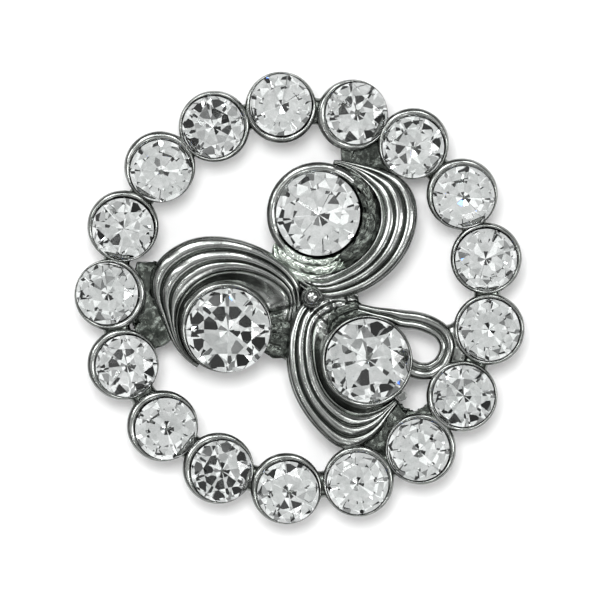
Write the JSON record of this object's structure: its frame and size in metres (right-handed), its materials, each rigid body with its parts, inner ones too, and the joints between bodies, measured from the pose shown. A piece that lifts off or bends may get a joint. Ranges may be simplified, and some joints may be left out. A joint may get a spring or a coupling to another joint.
{
  "type": "brooch",
  "caption": "Round costume brooch: a ring of small clear stones in cast cups around a three-petal stone pinwheel, with a hinged pin and a rotating safety catch behind.",
  "frame": {"origin": "middle of the brooch's outline, on the plane that its lowest back fitting touches when it lies face up", "axes": "+Z out of the front face towards the viewer, +Y to the top of the brooch as worn with the three petals' bead just right of centre, +X to the wearer's-view right"},
  "size_m": [0.0381, 0.0383, 0.0086],
  "materials": {
    "plated_casting": "polished dark rhodium plating on cast white metal",
    "plated_finding": "bright plated brass findings",
    "steel_wire": "drawn hard steel wire, ground point",
    "clear_stone": "faceted clear glass chaton, silver foiled behind"
  },
  "bodies": {
    "brooch_body": {"ring_frame": "plated_casting", "ring_stone_01": "clear_stone", "ring_stone_02": "clear_stone", "ring_stone_03": "clear_stone", "ring_stone_04": "clear_stone", "ring_stone_05": "clear_stone", "ring_stone_06": "clear_stone", "ring_stone_07": "clear_stone", "ring_stone_08": "clear_stone", "ring_stone_09": "clear_stone", "ring_stone_10": "clear_stone", "ring_stone_11": "clear_stone", "ring_stone_12": "clear_stone", "ring_stone_13": "clear_stone", "ring_stone_14": "clear_stone", "ring_stone_15": "clear_stone", "ring_stone_16": "clear_stone", "ring_stone_17": "clear_stone", "petal_left": "plated_casting", "cup_left": "plated_casting", "stone_left": "clear_stone", "petal_top": "plated_casting", "cup_top": "plated_casting", "stone_top": "clear_stone", "petal_right": "plated_casting", "cup_right": "plated_casting", "stone_right": "clear_stone", "hub_disc": "plated_casting", "hub_bead": "plated_casting", "wire_loop": "plated_casting", "tab_left": "plated_casting", "tab_top": "plated_casting", "tab_bottom": "plated_casting", "bridge_strip": "plated_casting", "side_prong": "plated_casting", "hinge_base": "plated_finding", "hinge_pin": "plated_finding", "catch_base": "plated_finding"},
    "pin_stem": {"pin_stem": "steel_wire"},
    "catch_rotor": {"catch_rotor": "plated_finding"}
  },
  "joints": [
    {"name": "pin_swing", "type": "hinge", "parent": "brooch_body", "child": "pin_stem", "pos_m": [-0.0159, -0.00006, 0.00155], "axis": [0.0845, 0.9964, 0], "range_deg": [0, 110]},
    {"name": "catch_turn", "type": "hinge", "parent": "brooch_body", "child": "catch_rotor", "pos_m": [0.01574, -0.00274, 0.00155], "axis": [0.9964, -0.0845, 0], "range_deg": [0, 85]}
  ]
}
